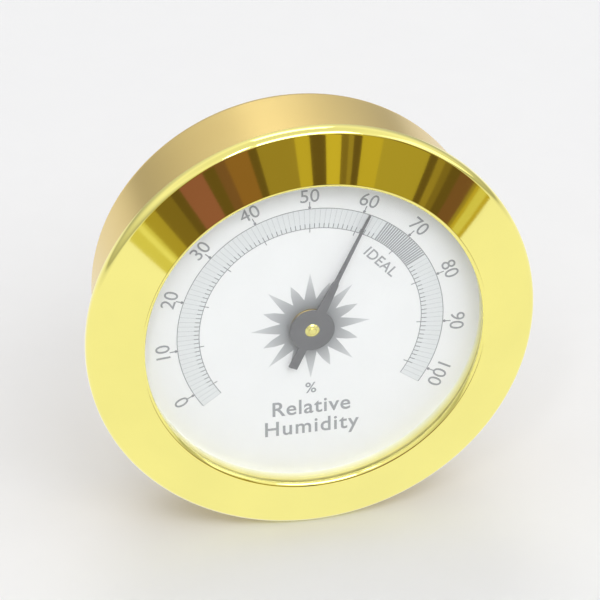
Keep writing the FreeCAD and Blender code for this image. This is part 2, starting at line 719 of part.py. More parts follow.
def make_arbor():
    """Turned spindle: pivot in the adjuster, body, journal in the bush, and a tip for the hub."""
    body = new_body("arbor")
    pivot_back = f"{ADJUSTER_FRONT} - Sizes.pivot_hole_depth + Sizes.end_play"
    turn_profile(
        body,
        [
            ("0", pivot_back),
            ("Sizes.pivot_radius", pivot_back),
            ("Sizes.pivot_radius", f"{ADJUSTER_FRONT} + 2 * Sizes.end_play"),
            ("Sizes.arbor_radius", f"{ADJUSTER_FRONT} + 2 * Sizes.end_play"),
            ("Sizes.arbor_radius", f"{BUSH_BACK} - Sizes.end_play"),
            ("Sizes.journal_radius", f"{BUSH_BACK} - Sizes.end_play"),
            ("Sizes.journal_radius", "Sizes.hub_height"),
            ("Sizes.tip_radius", "Sizes.hub_height"),
            ("Sizes.tip_radius", "Sizes.tip_height"),
            ("0", "Sizes.tip_height"),
        ],
    )
    soften(body, "Fillet", "Radius", "Sizes.tip_rounding", [("Sizes.tip_radius", "Sizes.tip_height")])
    stand(body)


def make_coil_collet():
    """Collet on the arbor, slotted for the coil's inner end."""
    body = new_body("coil_collet")
    back = "-Sizes.collet_depth - Sizes.collet_length"
    ring = new_sketch(body, "collet_outline", "XY_Plane", back)
    circle(ring, "Sizes.collet_radius")
    circle(ring, "Sizes.arbor_radius")
    pad(body, ring, "Sizes.collet_length", "collet_ring")
    slot = new_sketch(body, "collet_slot_outline", "XY_Plane", back)
    floor, end, half = "Sizes.collet_floor", "2 * Sizes.collet_radius", "Sizes.collet_slot / 2"
    outline(slot, [(floor, f"-{half}"), (end, f"-{half}"), (end, half), (floor, half)])
    pocket(body, slot, "Sizes.collet_length", "collet_slot", upwards=True)
    stand(body, size_of("arm_angle"))


def make_pointer():
    """Stamped pointer: round middle, stepped blade to twelve o'clock and a blunt tail."""
    body = new_body("pointer")
    disc = new_sketch(body, "pointer_disc_outline", "XY_Plane", POINTER_BACK)
    circle(disc, "Sizes.pointer_disc")
    circle(disc, "Sizes.hub_radius")
    pad(body, disc, "Sizes.pointer_thickness", "pointer_disc")
    blade = new_sketch(body, "pointer_blade_outline", "XY_Plane", POINTER_BACK)
    root = "Sizes.pointer_root"
    step = "Sizes.pointer_shoulder + Sizes.shoulder_width / 2"
    right = [
        ("Sizes.root_width / 2", root),
        ("Sizes.shoulder_width / 2", "Sizes.pointer_shoulder"),
        ("Sizes.needle_width / 2", step),
        ("Sizes.point_width / 2", "Sizes.pointer_reach"),
    ]
    left = [(f"-{across}", up) for across, up in reversed(right)]
    outline(blade, right + left)
    pad(body, blade, "Sizes.pointer_thickness", "pointer_blade")
    tail = new_sketch(body, "pointer_tail_outline", "XY_Plane", POINTER_BACK)
    half, end, start = "Sizes.tail_width / 2", "-Sizes.tail_reach", f"-{root}"
    outline(tail, [(f"-{half}", end), (half, end), (half, start), (f"-{half}", start)])
    pad(body, tail, "Sizes.pointer_thickness", "pointer_tail")
    stand(body, -size_of("reading_angle"))


def make_pointer_hub():
    """Turned hub pressed on the arbor and riveted over the pointer."""
    body = new_body("pointer_hub")
    front = f"{POINTER_FRONT} + Sizes.hub_rivet"
    turn_profile(
        body,
        [
            ("Sizes.tip_radius", "Sizes.hub_height"),
            ("Sizes.hub_collar_radius", "Sizes.hub_height"),
            ("Sizes.hub_collar_radius", POINTER_BACK),
            ("Sizes.hub_radius", POINTER_BACK),
            ("Sizes.hub_radius", POINTER_FRONT),
            ("Sizes.hub_rivet_radius", POINTER_FRONT),
            ("Sizes.hub_radius", front),
            ("Sizes.tip_radius", front),
        ],
    )
    stand(body)


make_bezel()
make_crystal()
make_crystal_gasket()
make_spacer_ring()
make_dial_plate()
make_dial_feet()
make_retaining_ring()
make_case_back()
make_front_bush()
make_movement_plate()
make_pillars()
make_rear_bridge()
make_bridge_screws()
make_adjuster_stub()
make_friction_washer()
make_adjuster_arm()
make_coil_clip()
make_humidity_coil()
make_arbor()
make_coil_collet()
make_pointer()
make_pointer_hub()
doc.recompute()

for made in doc.Objects:
    if {"Invalid", "Error"} & set(made.State):
        raise RuntimeError(f"{made.Label} did not recompute: {made.State}")
    if made.TypeId == "Sketcher::SketchObject" and not made.FullyConstrained:
        raise RuntimeError(f"{made.Label} isn't fully constrained")
for piece in sub_parts:
    if piece.Shape.isNull() or not piece.Shape.isValid():
        raise RuntimeError(f"{piece.Label} is not a valid solid")

os.makedirs("parts", exist_ok=True)
for piece in sub_parts:
    piece.Shape.exportStep(f"parts/{piece.Label}.step")
    print(f"{piece.Label}: {len(piece.Shape.Solids)} solid, {piece.Shape.Volume:.2f} mm3")
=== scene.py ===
"""Dial hygrometer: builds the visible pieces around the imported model, and a small studio."""

import math

import bmesh
import bpy
from bpy.props import FloatProperty, FloatVectorProperty, IntProperty, PointerProperty
from mathutils import Euler, Matrix, Vector


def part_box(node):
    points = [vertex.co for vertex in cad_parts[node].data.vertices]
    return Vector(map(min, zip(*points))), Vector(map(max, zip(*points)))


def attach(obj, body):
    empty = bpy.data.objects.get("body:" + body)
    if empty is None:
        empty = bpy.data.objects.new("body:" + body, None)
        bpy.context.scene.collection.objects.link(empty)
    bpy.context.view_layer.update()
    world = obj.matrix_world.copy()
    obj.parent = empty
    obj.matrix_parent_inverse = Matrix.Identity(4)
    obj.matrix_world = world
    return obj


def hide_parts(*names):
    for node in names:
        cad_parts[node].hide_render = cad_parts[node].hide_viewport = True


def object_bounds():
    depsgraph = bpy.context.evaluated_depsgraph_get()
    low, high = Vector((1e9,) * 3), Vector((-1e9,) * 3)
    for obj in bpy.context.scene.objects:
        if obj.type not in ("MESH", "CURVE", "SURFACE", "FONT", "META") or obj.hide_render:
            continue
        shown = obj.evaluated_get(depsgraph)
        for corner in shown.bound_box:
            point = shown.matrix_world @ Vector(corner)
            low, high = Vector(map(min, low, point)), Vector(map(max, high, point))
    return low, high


bl_info = {
    "name": "Dial Hygrometer",
    "version": (1, 0, 0),
    "blender": (4, 5, 0),
    "location": "3D View > Sidebar > Hygrometer",
    "description": "Builds a panel dial hygrometer piece by piece",
    "category": "Add Mesh",
}

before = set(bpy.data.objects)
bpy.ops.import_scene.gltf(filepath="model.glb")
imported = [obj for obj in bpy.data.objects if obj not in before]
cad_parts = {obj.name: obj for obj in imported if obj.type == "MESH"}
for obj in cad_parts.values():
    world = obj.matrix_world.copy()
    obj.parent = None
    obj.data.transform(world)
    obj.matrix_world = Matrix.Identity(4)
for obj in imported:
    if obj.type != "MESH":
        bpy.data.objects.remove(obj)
CAD_LOW, CAD_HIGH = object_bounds()

MM = 0.001
FULL_TURN = 2 * math.pi
STAND = Matrix.Rotation(math.pi / 2, 4, "X")
FINE_STEPS = 256
SMALL_STEPS = 96
SHARP_ANGLE = math.radians(35)
SLACK = 2e-6
SAME_PLACE = 1e-7


def reach(node):
    """Largest distance of a node from the dial's axis, along X."""
    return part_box(node)[1].x


def front(node):
    """Height of a node's front above the panel's face."""
    return -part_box(node)[0].y


def back(node):
    """Height of a node's back above the panel's face, so below it is negative."""
    return -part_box(node)[1].y


# ---------------------------------------------------------------- settings


def length_setting(name, description, default):
    return FloatProperty(name=name, description=description, default=default, unit="LENGTH")


def angle_setting(name, description, degrees):
    turn = math.radians(degrees)
    return FloatProperty(name=name, description=description, default=turn, subtype="ANGLE")


def colour_setting(name, description, default):
    return FloatVectorProperty(name=name, description=description, default=default, subtype="COLOR")


class BezelSettings(bpy.types.PropertyGroup):
    radius: length_setting("Radius", "Outside of the rim", reach("bezel"))
    edge: length_setting("Edge", "Height of the rim's outer wall", 1.2 * MM)
    height: length_setting("Height", "Height of the crest", front("bezel"))
    crest: length_setting("Crest", "Radius of the crest", 19.15 * MM)
    window: length_setting("Window", "Radius of the opening", 18.8 * MM)
    fall: length_setting("Fall", "Drop from crest to opening", 0.25 * MM)
    bore: length_setting("Bore", "Radius behind the lip", 20.0 * MM)
    rim_round: length_setting("Rim round", "Round on the rim's edge", 0.6 * MM)
    small_round: length_setting("Small round", "Round on the lip", 0.12 * MM)


class DialSettings(bpy.types.PropertyGroup):
    first_angle: angle_setting("First angle", "Angle of 0 from twelve o'clock, clockwise", -118.75)
    last_angle: angle_setting("Last angle", "Angle of 100 from twelve o'clock, clockwise", 118.75)
    inner_arc: length_setting("Inner arc", "Radius of the inner arc", 12.4 * MM)
    outer_arc: length_setting("Outer arc", "Radius of the outer arc", 14.85 * MM)
    numerals: length_setting("Numerals", "Radius through the numerals", 16.4 * MM)
    numeral_height: length_setting("Numeral height", "Height of a numeral", 1.6 * MM)
    ink: length_setting("Ink", "Thickness of the print", 0.015 * MM)
    ideal_from: IntProperty(name="Ideal from", description="Start of the shaded range", default=65)
    ideal_to: IntProperty(name="Ideal to", description="End of the shaded range", default=75)


class PointerSettings(bpy.types.PropertyGroup):
    reading_angle: angle_setting("Reading", "Angle at rest from twelve o'clock, clockwise", 25.4)
    disc: length_setting("Disc", "Radius of the round middle", 2.5 * MM)
    length: length_setting("Length", "Centre to tip", 15.2 * MM)
    shoulder: length_setting("Shoulder", "Centre to the end of the wide root", 6.0 * MM)
    tail: length_setting("Tail", "Centre to the end of the tail", 5.1 * MM)


class CaseSettings(bpy.types.PropertyGroup):
    wall: length_setting("Wall", "Thickness of the sheet", 0.6 * MM)
    corner: length_setting("Corner", "Outer round at the back", 1.2 * MM)
    dish: length_setting("Dish", "Radius of the pressed dish", 17.5 * MM)
    dish_slope: length_setting("Dish slope", "Width of its sloping edge", 0.5 * MM)
    dish_depth: length_setting("Dish depth", "Depth of the dish", 0.4 * MM)
    opening: length_setting("Opening", "Radius of the adjuster's hole", 2.6 * MM)
    vents: IntProperty(name="Vents", description="Air slots in the back", default=8, min=1)
    vent_width: length_setting("Vent width", "Width of an air slot", 2.2 * MM)
    vent_start: length_setting("Vent start", "Inner end's centre", 7.6 * MM)
    vent_finish: length_setting("Vent finish", "Outer end's centre", 13.4 * MM)


class FinishSettings(bpy.types.PropertyGroup):
    gilt: colour_setting("Gilt", "Colour of the bezel", (0.93, 0.85, 0.25))
    brass: colour_setting("Brass", "Colour of the case", (0.80, 0.62, 0.24))
    enamel: colour_setting("Enamel", "Colour of the dial", (0.95, 0.955, 0.97))
    ink: colour_setting("Ink", "Colour of the print", (0.24, 0.25, 0.27))
    pointer: colour_setting("Pointer", "Colour of the pointer", (0.135, 0.135, 0.145))


class StudioSettings(bpy.types.PropertyGroup):
    azimuth: angle_setting("Azimuth", "Camera to the right of the dial's axis", -11.6)
    elevation: angle_setting("Elevation", "Camera above the dial's axis", 31.4)
    roll: angle_setting("Roll", "Camera turned about its view", 0.4)
    distance: length_setting("Distance", "Camera to the object", 0.915)
    lens: FloatProperty(name="Lens", description="Focal length in millimetres", default=500.0)
    screen: length_setting("Screen", "Radius of the reflected screen", 3.0)


# ---------------------------------------------------------------- modelling


def only(kind, geometry):
    """The vertices, edges or faces among an operator's results."""
    return [item for item in geometry if isinstance(item, kind)]


def full_turn(shape, outline, steps):
    """Turns an outline once about the dial's axis and joins its ends."""
    bmesh.ops.spin(
        shape, geom=outline, cent=(0, 0, 0), axis=(0, 0, 1), dvec=(0, 0, 0),
        angle=FULL_TURN, steps=steps, use_merge=True, use_duplicate=False,
    )


def part_turn(shape, outline, angle, steps, axis=(0, 0, -1)):
    """Sweeps an outline part of the way about the dial's axis and gives back its last place."""
    return bmesh.ops.spin(
        shape, geom=outline, cent=(0, 0, 0), axis=axis, dvec=(0, 0, 0),
        angle=angle, steps=steps, use_merge=False, use_duplicate=False,
    )["geom_last"]


def lathe(outline, steps=FINE_STEPS):
    """Turns a closed outline of (radius, height, round) corners and rounds the corners."""
    shape = bmesh.new()
    corners = [shape.verts.new((radius, 0.0, height)) for radius, height, _ in outline]
    sides = [shape.edges.new(pair) for pair in zip(corners, corners[1:] + corners[:1])]
    full_turn(shape, corners + sides, steps)
    bmesh.ops.remove_doubles(shape, verts=shape.verts, dist=SAME_PLACE)
    bmesh.ops.recalc_face_normals(shape, faces=shape.faces)
    for radius, height, size in outline:
        if size:
            round_ring(shape, radius, height, size)
    return shape


def at_radius(vert, radius):
    return abs(math.hypot(vert.co.x, vert.co.y) - radius) < SLACK


def on_ring(vert, radius, height):
    """Whether a vertex lies on the circle of that radius at that height."""
    return at_radius(vert, radius) and abs(vert.co.z - height) < SLACK


def round_ring(shape, radius, height, size, segments=5):
    """Rounds the circular edge of that radius at that height."""
    ring = [
        edge for edge in shape.edges if all(on_ring(vert, radius, height) for vert in edge.verts)
    ]
    if not ring:
        raise RuntimeError(f"no ring of radius {radius:.5f} at {height:.5f} to round")
    soften(shape, ring, size, segments)


def soften(shape, edges, size, segments=3):
    bmesh.ops.bevel(
        shape, geom=edges, offset=size, offset_type="OFFSET", segments=segments, profile=0.5,
        affect="EDGES", material=-1, clamp_overlap=True,
    )


def raise_faces(shape, faces, height):
    """Extrudes flat faces along the dial's axis into a solid and gives back the new faces."""
    made = bmesh.ops.extrude_face_region(shape, geom=faces, use_keep_orig=True)
    bmesh.ops.translate(shape, verts=only(bmesh.types.BMVert, made["geom"]), vec=(0, 0, height))
    return only(bmesh.types.BMFace, made["geom"])


def clockwise(angle):
    """Turn about the dial's axis, counted clockwise from twelve o'clock."""
    return Matrix.Rotation(-angle, 4, "Z")


def add_box(shape, place, size):
    """A box of that size, centred in X and Y and standing on place."""
    centre = Matrix.Translation((0, 0, size[2] / 2))
    bmesh.ops.create_cube(shape, size=1.0, matrix=place @ centre @ Matrix.Diagonal((*size, 1)))


def add_arc(shape, inner, outer, start, finish, height, thickness):
    """A flat strip between two radii from one clockwise angle to another."""
    turn = clockwise(start)
    ends = [shape.verts.new(turn @ Vector((0, radius, height))) for radius in (inner, outer)]
    side = shape.edges.new(ends)
    steps = max(2, round(math.degrees(finish - start)))
    before = set(shape.faces)
    part_turn(shape, [*ends, side], finish - start, steps)
    raise_faces(shape, [face for face in shape.faces if face not in before], thickness)


def new_object(shape, name, finishes):
    """Puts a finished shape into the scene."""
    mesh = bpy.data.meshes.new(name)
    shape.to_mesh(mesh)
    shape.free()
    for finish in finishes:
        mesh.materials.append(finish)
    made = bpy.data.objects.new(name, mesh)
    bpy.context.scene.collection.objects.link(made)
    return made


def show(shape, name, finish, body, replaced=(), turn=0.0, even=False):
    """Stands a finished shape up, makes it a piece, and says what it rides on and stands for."""
    bmesh.ops.recalc_face_normals(shape, faces=shape.faces)
    shape.transform(STAND @ clockwise(turn))
    piece = new_object(shape, name, [finish])
    piece.data.shade_smooth()
    piece.data.set_sharp_from_angle(angle=SHARP_ANGLE)
    if even:
        shading = piece.modifiers.new("even_shading", "WEIGHTED_NORMAL")
        shading.keep_sharp = True
    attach(piece, body)
    if replaced:
        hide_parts(*replaced)
    return piece


def dress(node, finish):
    """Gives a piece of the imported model, whose shape is right, a better finish."""
    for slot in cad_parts[node].material_slots:
        slot.material = finish


CAPITAL_SHARE = 0.7  # height of a capital in lettering of size 1


def add_lettering(shape, text, size, place, spacing=1.0, weight=0.0):
    """Adds raised lettering, centred on place, whose capitals are size high."""
    thickness = bpy.context.scene.hygrometer_dial.ink
    curve = bpy.data.curves.new("lettering", "FONT")
    curve.body = text
    curve.align_x = "CENTER"
    curve.align_y = "CENTER"
    curve.space_character = spacing
    curve.extrude = 0.5
    curve.offset = weight
    curve.resolution_u = 6
    writing = bpy.data.objects.new("lettering", curve)
    bpy.context.scene.collection.objects.link(writing)
    bpy.context.view_layer.update()
    written = writing.evaluated_get(bpy.context.evaluated_depsgraph_get())
    mesh = bpy.data.meshes.new_from_object(written)
    bpy.data.objects.remove(writing)
    bpy.data.curves.remove(curve)
    scale = size / CAPITAL_SHARE
    centre = Matrix.Translation((0, 0, thickness / 2))
    mesh.transform(place @ centre @ Matrix.Diagonal((scale, scale, thickness, 1)))
    shape.from_mesh(mesh)
    bpy.data.meshes.remove(mesh)
    bmesh.ops.remove_doubles(shape, verts=shape.verts, dist=SAME_PLACE)


# ---------------------------------------------------------------- finishes


def shader_group(name, inputs, outputs):
    """A new shader node group with named sockets, and its input and output nodes."""
    group = bpy.data.node_groups.new(name, "ShaderNodeTree")
    for label, default in inputs:
        socket = group.interface.new_socket(label, in_out="INPUT", socket_type="NodeSocketFloat")
        socket.default_value = default
    for label in outputs:
        group.interface.new_socket(label, in_out="OUTPUT", socket_type="NodeSocketFloat")
    return group, group.nodes.new("NodeGroupInput"), group.nodes.new("NodeGroupOutput")


def feed(tree, socket, value):
    """Sets a socket to a plain number, or links another node's output to it."""
    if isinstance(value, (int, float)):
        socket.default_value = value
    else:
        tree.links.new(value, socket)


def math_node(tree, operation, *operands):
    """A maths node whose operands are sockets or plain numbers, and its result."""
    node = tree.nodes.new("ShaderNodeMath")
    node.operation = operation
    for socket, value in zip(node.inputs, operands):
        feed(tree, socket, value)
    return node.outputs[0]


def noise(tree, vector, scale, detail=2.0, dimensions="3D"):
    """A noise texture on that vector, or on that value in one dimension, and its factor."""
    node = tree.nodes.new("ShaderNodeTexNoise")
    node.noise_dimensions = dimensions
    node.inputs["Detail"].default_value = detail
    feed(tree, node.inputs["Scale"], scale)
    tree.links.new(vector, node.inputs["W" if dimensions == "1D" else "Vector"])
    return node.outputs[0]


def coordinates(tree, kind="Object"):
    """The X, Y and Z of a point, as the outputs of a node."""
    place = tree.nodes.new("ShaderNodeTexCoord")
    split = tree.nodes.new("ShaderNodeSeparateXYZ")
    tree.links.new(place.outputs[kind], split.inputs[0])
    return split.outputs


def choose_shader(tree, ray, usual, special, output):
    """Shows one shader to most rays and the other to one kind of ray."""
    rays = tree.nodes.new("ShaderNodeLightPath")
    choose = tree.nodes.new("ShaderNodeMixShader")
    tree.links.new(rays.outputs[ray], choose.inputs["Fac"])
    tree.links.new(usual.outputs[0], choose.inputs[1])
    tree.links.new(special.outputs[0], choose.inputs[2])
    tree.links.new(choose.outputs[0], tree.nodes[output].inputs["Surface"])


def turned_surface():
    """Fine rings about the dial's axis, on flats and walls alike, with soft smudges over them."""
    group, given, result = shader_group(
        "turned_surface",
        [("Rings", 9000.0), ("Roughness", 0.1), ("Smudges", 0.05)],
        ["Roughness", "Height", "Smudge"],
    )
    axes = coordinates(group)
    across = math_node(group, "MULTIPLY", axes["X"], axes["X"])
    up = math_node(group, "MULTIPLY", axes["Z"], axes["Z"])
    radius = math_node(group, "SQRT", math_node(group, "ADD", across, up))
    path = math_node(group, "ADD", radius, axes["Y"])
    rings = noise(group, path, given.outputs["Rings"], detail=1.0, dimensions="1D")
    add_smudges(group, given, result, scale=160.0, middle=0.35)
    group.links.new(rings, result.inputs["Height"])
    return group


def add_smudges(group, given, result, scale, middle):
    """Lets soft patches raise and lower a group's roughness, and puts them out as a mask."""
    place = group.nodes.new("ShaderNodeTexCoord")
    smudge = noise(group, place.outputs["Object"], scale, detail=4.0)
    offset = math_node(group, "SUBTRACT", smudge, middle)
    swing = math_node(group, "MULTIPLY", offset, given.outputs["Smudges"])
    total = math_node(group, "ADD", given.outputs["Roughness"], swing)
    group.links.new(total, result.inputs["Roughness"])
    group.links.new(smudge, result.inputs["Smudge"])


def brushed_surface():
    """Fine brush lines across the dial, with soft smudges over them."""
    group, given, result = shader_group(
        "brushed_surface",
        [("Across", 6000.0), ("Along", 240.0), ("Roughness", 0.3), ("Smudges", 0.1)],
        ["Roughness", "Height", "Smudge"],
    )
    axes = coordinates(group)
    join = group.nodes.new("ShaderNodeCombineXYZ")
    for axis, size in (("X", "Along"), ("Y", "Across"), ("Z", "Across")):
        scaled = math_node(group, "MULTIPLY", axes[axis], given.outputs[size])
        group.links.new(scaled, join.inputs[axis])
    add_smudges(group, given, result, scale=110.0, middle=0.4)
    group.links.new(noise(group, join.outputs[0], 1.0), result.inputs["Height"])
    return group


def fine_speckle():
    """Even fine grain, as lacquer, ink and moulded plastic show it."""
    group, given, result = shader_group(
        "fine_speckle", [("Grain", 4000.0), ("Roughness", 0.4), ("Spread", 0.1)],
        ["Roughness", "Height", "Mask"],
    )
    place = group.nodes.new("ShaderNodeTexCoord")
    grain = noise(group, place.outputs["Object"], given.outputs["Grain"], detail=3.0)
    patch = noise(group, place.outputs["Object"], 220.0, detail=3.0)
    offset = math_node(group, "SUBTRACT", patch, 0.5)
    swing = math_node(group, "MULTIPLY", offset, given.outputs["Spread"])
    total = math_node(group, "ADD", given.outputs["Roughness"], swing)
    group.links.new(total, result.inputs["Roughness"])
    group.links.new(grain, result.inputs["Height"])
    group.links.new(patch, result.inputs["Mask"])
    return group


def group_once(make):
    """The named group, built the first time that a material asks for it."""
    return bpy.data.node_groups.get(make.__name__) or make()


def new_finish(name, make_group, values, bump, depth, metallic=0.0, coat=(0.0, 0.03)):
    """A material whose roughness and bump come from a group, with its group node.

    values are the group's inputs in their order, and coat is a weight and a roughness.
    """
    finish = bpy.data.materials.new(name)
    finish.use_nodes = True
    tree = finish.node_tree
    shader = tree.nodes["Principled BSDF"]
    group = tree.nodes.new("ShaderNodeGroup")
    group.node_tree = group_once(make_group)
    for socket, value in zip(group.inputs, values, strict=True):
        socket.default_value = value
    tree.links.new(group.outputs["Roughness"], shader.inputs["Roughness"])
    relief = tree.nodes.new("ShaderNodeBump")
    relief.inputs["Strength"].default_value = bump
    relief.inputs["Distance"].default_value = depth
    tree.links.new(group.outputs["Height"], relief.inputs["Height"])
    tree.links.new(relief.outputs[0], shader.inputs["Normal"])
    shader.inputs["Metallic"].default_value = metallic
    shader.inputs["Coat Weight"].default_value, shader.inputs["Coat Roughness"].default_value = coat
    return finish, group


def turned_metal(name, values, bump, depth=0.01 * MM, **lacquer):
    """Metal off the lathe, from its rings, roughness and smudges."""
    return new_finish(name, turned_surface, values, bump, depth, metallic=1.0, **lacquer)[0]


def blend_colours(finish, mask, dark, light, low=0.35, high=0.65):
    """Feeds the shader's colour from two colours and a mask."""
    tree = finish.node_tree
    ramp = tree.nodes.new("ShaderNodeValToRGB")
    for stop, position, colour in zip(ramp.color_ramp.elements, (low, high), (dark, light)):
        stop.position = position
        stop.color = (*colour, 1.0)
    tree.links.new(mask, ramp.inputs["Fac"])
    tree.links.new(ramp.outputs["Color"], tree.nodes["Principled BSDF"].inputs["Base Color"])


def shaded(colour, share):
    return tuple(channel * share for channel in colour)


def chosen(name):
    """A colour from the finishes' settings."""
    return tuple(getattr(bpy.context.scene.hygrometer_finishes, name))


def object_noise(finish, scale, detail=3.0):
    """A noise on the piece's own coordinates, as a mask for its colour."""
    place = finish.node_tree.nodes.new("ShaderNodeTexCoord")
    return noise(finish.node_tree, place.outputs["Object"], scale, detail)


def polished_gilt(name="polished_gilt"):
    """Polished lemon gold under clear lacquer."""
    finish = turned_metal(name, (7000.0, 0.03, 0.04), bump=0.012, coat=(0.5, 0.03))
    gilt = chosen("gilt")
    blend_colours(finish, object_noise(finish, 90.0), shaded(gilt, 0.96), gilt)
    return finish


def bright_turned_gilt():
    """Satin gold on the ring between glass and dial, with a painted reflection of the white dial
    that makes it paler down by the dial.
    """
    finish = turned_metal("bright_turned_gilt", (9000.0, 0.34, 0.08), bump=0.05)
    tree = finish.node_tree
    rise = tree.nodes.new("ShaderNodeMapRange")
    rise.inputs["From Min"].default_value = -back("spacer_ring")
    rise.inputs["From Max"].default_value = -front("spacer_ring")
    tree.links.new(coordinates(tree)["Y"], rise.inputs["Value"])
    # Painted reflection of the white dial, strongest where the ring meets the dial.
    pale = (0.98, 0.97, 0.80)
    blend_colours(finish, rise.outputs["Result"], pale, chosen("gilt"), low=0.0, high=1.0)
    return finish


def turned_brass(name="turned_brass", roughness=0.2):
    """Bare brass off the lathe."""
    finish = turned_metal(name, (14000.0, roughness, 0.12), bump=0.12)
    brass = chosen("brass")
    blend_colours(finish, object_noise(finish, 700.0), shaded(brass, 0.82), brass)
    return finish


def drawn_brass():
    """Satin brass sheet, drawn into a can, polished on the lathe and a little tarnished."""
    finish = turned_metal(
        "drawn_brass", (1500.0, 0.24, 0.03), bump=0.03, depth=0.012 * MM, coat=(0.15, 0.15)
    )
    red, green, blue = brass = chosen("brass")
    tarnished = (red * 0.90, green * 0.86, blue * 0.78)
    blend_colours(finish, object_noise(finish, 70.0, 1.0), tarnished, brass, low=0.15, high=0.85)
    return finish


def brushed_sheet():
    """Brass sheet brushed before it was blanked."""
    finish, group = new_finish(
        "brushed_sheet", brushed_surface, (6000.0, 240.0, 0.34, 0.14), bump=0.14,
        depth=0.01 * MM, metallic=1.0,
    )
    brass = chosen("brass")
    blend_colours(finish, group.outputs["Smudge"], shaded(brass, 0.7), shaded(brass, 0.94))
    return finish


def bare_steel(name, colour, roughness):
    """Steel with fine turning marks and a light bloom."""
    finish = turned_metal(name, (12000.0, roughness, 0.12), bump=0.1)
    blend_colours(finish, object_noise(finish, 500.0), shaded(colour, 0.84), colour)
    return finish


def dial_enamel():
    """White lacquer on the dial, even and faintly glossy."""
    finish, group = new_finish(
        "dial_enamel", fine_speckle, (5200.0, 0.36, 0.06), bump=0.03, depth=0.01 * MM,
        coat=(0.2, 0.25),
    )
    enamel = chosen("enamel")
    blend_colours(finish, group.outputs["Mask"], shaded(enamel, 0.985), enamel)
    return finish


def printing_ink(name, colour, weak=1.12):
    """Flat printing ink, a little uneven where it is thin."""
    finish, group = new_finish(
        name, fine_speckle, (9000.0, 0.52, 0.1), bump=0.08, depth=0.004 * MM
    )
    blend_colours(finish, group.outputs["Height"], colour, shaded(colour, weak))
    return finish


def sun_ink():
    """The dial's sun: print that lightens along its rays, with painted shade from the pointer's
    disc darkening its middle.
    """
    middle_ink_and_painted_shade, light, ray_length = (0.32, 0.33, 0.35), (0.68, 0.69, 0.71), 6.6 * MM
    finish = printing_ink("sun_ink", middle_ink_and_painted_shade)
    tree = finish.node_tree
    place = tree.nodes.new("ShaderNodeTexCoord")
    length = tree.nodes.new("ShaderNodeVectorMath")
    length.operation = "LENGTH"
    tree.links.new(place.outputs["Object"], length.inputs[0])
    share = math_node(tree, "DIVIDE", length.outputs["Value"], ray_length)
    # The ramp is partly the print's grey and partly painted shade from the pointer's disc, darkest
    # at the middle.
    blend_colours(finish, share, middle_ink_and_painted_shade, light, low=0.38, high=0.95)
    return finish


def pointer_enamel():
    """Grey satin enamel on the stamped pointer."""
    finish, group = new_finish(
        "pointer_enamel", fine_speckle, (6000.0, 0.4, 0.1), bump=0.10, depth=0.006 * MM,
        coat=(0.15, 0.3),
    )
    grey = chosen("pointer")
    blend_colours(finish, group.outputs["Mask"], shaded(grey, 0.92), shaded(grey, 1.06))
    return finish


def coil_paper():
    """The coil's strip: coated paper on metal, buff with fibres."""
    finish, group = new_finish(
        "coil_paper", fine_speckle, (2600.0, 0.62, 0.14), bump=0.3, depth=0.02 * MM
    )
    blend_colours(finish, group.outputs["Height"], (0.36, 0.27, 0.15), (0.58, 0.47, 0.30))
    return finish


def gasket_amber():
    """Soft amber ring under the glass."""
    finish, group = new_finish(
        "gasket_amber", fine_speckle, (3000.0, 0.66, 0.1), bump=0.2, depth=0.01 * MM
    )
    blend_colours(finish, group.outputs["Mask"], (0.52, 0.45, 0.13), (0.64, 0.56, 0.19))
    return finish


def window_glass():
    """Clear flat glass that lets the lamps through to the dial."""
    finish, _ = new_finish(
        "window_glass", fine_speckle, (60.0, 0.012, 0.012), bump=0.0, depth=0.001 * MM
    )
    tree = finish.node_tree
    shader = tree.nodes["Principled BSDF"]
    shader.inputs["Base Color"].default_value = (0.985, 0.995, 0.99, 1.0)
    shader.inputs["Transmission Weight"].default_value = 1.0
    shader.inputs["IOR"].default_value = 1.5
    clear = tree.nodes.new("ShaderNodeBsdfTransparent")
    choose_shader(tree, "Is Shadow Ray", shader, clear, "Material Output")
    return finish


# ---------------------------------------------------------------- pieces


class HYGROMETER_OT_bezel(bpy.types.Operator):
    """Turned bezel: flat back, straight rim, polished cone, lip over the glass and skirt"""

    bl_idname = "hygrometer.bezel"
    bl_label = "Bezel"

    def execute(self, context):
        size = context.scene.hygrometer_bezel
        case = context.scene.hygrometer_case
        skirt = reach("case_back") - case.wall
        dial_back = back("dial_plate")
        groove_radius, groove_back = size.bore + 0.5 * MM, dial_back - 0.55 * MM
        glass_round = 0.05 * MM
        shoulder = front("case_back")
        glass_front = front("crystal")
        small = size.small_round
        outline = [
            (skirt, back("bezel"), small),
            (skirt, shoulder, 0),
            (reach("case_back"), shoulder, 0),
            (reach("case_back"), 0, 0),
            (size.radius, 0, small),
            (size.radius, size.edge, size.rim_round),
            (size.crest, size.height, small),
            (size.window, size.height - size.fall, small),
            (size.window, glass_front, glass_round),
            (size.bore, glass_front, 0),
            (size.bore, dial_back, 0),
            (groove_radius, dial_back, 0),
            (groove_radius, groove_back, 0),
            (size.bore, groove_back, 0),
            (size.bore, back("bezel"), small),
        ]
        gilt = polished_gilt()
        show(lathe(outline), "bezel_ring", gilt, "housing", ["bezel"], even=True)
        return {"FINISHED"}


class HYGROMETER_OT_window(bpy.types.Operator):
    """Flat glass with a ground edge, and the soft gasket behind it"""

    bl_idname = "hygrometer.window"
    bl_label = "Window"

    def execute(self, context):
        radius, low, high = reach("crystal"), back("crystal"), front("crystal")
        ground = 0.15 * MM
        outline = [
            (0, low, 0), (radius - ground, low, 0), (radius, low + ground, 0),
            (radius, high - ground, 0), (radius - ground, high, 0), (0, high, 0),
        ]
        show(lathe(outline), "window_glass", window_glass(), "housing", ["crystal"])
        dress("crystal_gasket", gasket_amber())
        return {"FINISHED"}


